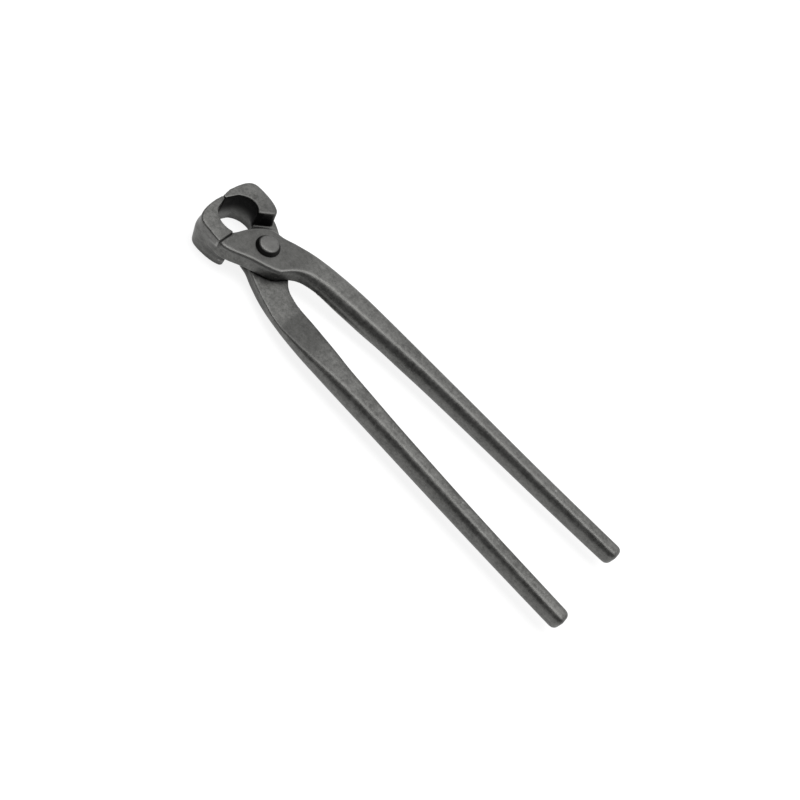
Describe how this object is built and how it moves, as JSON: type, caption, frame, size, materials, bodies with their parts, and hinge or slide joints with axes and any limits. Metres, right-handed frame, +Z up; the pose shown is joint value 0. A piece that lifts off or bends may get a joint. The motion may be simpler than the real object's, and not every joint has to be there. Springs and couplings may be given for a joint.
{
  "type": "concreters nippers",
  "caption": "Long-handled concreters' nippers: crossed forged levers on a round-headed rivet, with wide curved jaws that close at the tip to twist and cut tying wire.",
  "frame": {"origin": "middle of the closed tool's box, on the surface that it lies on", "axes": "+Y along the tool to the jaws, +X across it to the front lever's handle, +Z up along the rivet to the front lever's side"},
  "size_m": [0.0632, 0.28, 0.0216],
  "materials": {
    "forged_steel": "black phosphated, satin",
    "rivet_steel": "black phosphated, satin, rubbed on the head"
  },
  "bodies": {
    "rear": {"rear_lever": "forged_steel", "pivot_rivet": "rivet_steel"},
    "front": {"front_lever": "forged_steel"}
  },
  "joints": [
    {"name": "pivot_hinge", "type": "hinge", "parent": "rear", "child": "front", "pos_m": [0, 0.104, 0.0108], "axis": [0, 0, 1], "range_deg": [0, 40]}
  ]
}
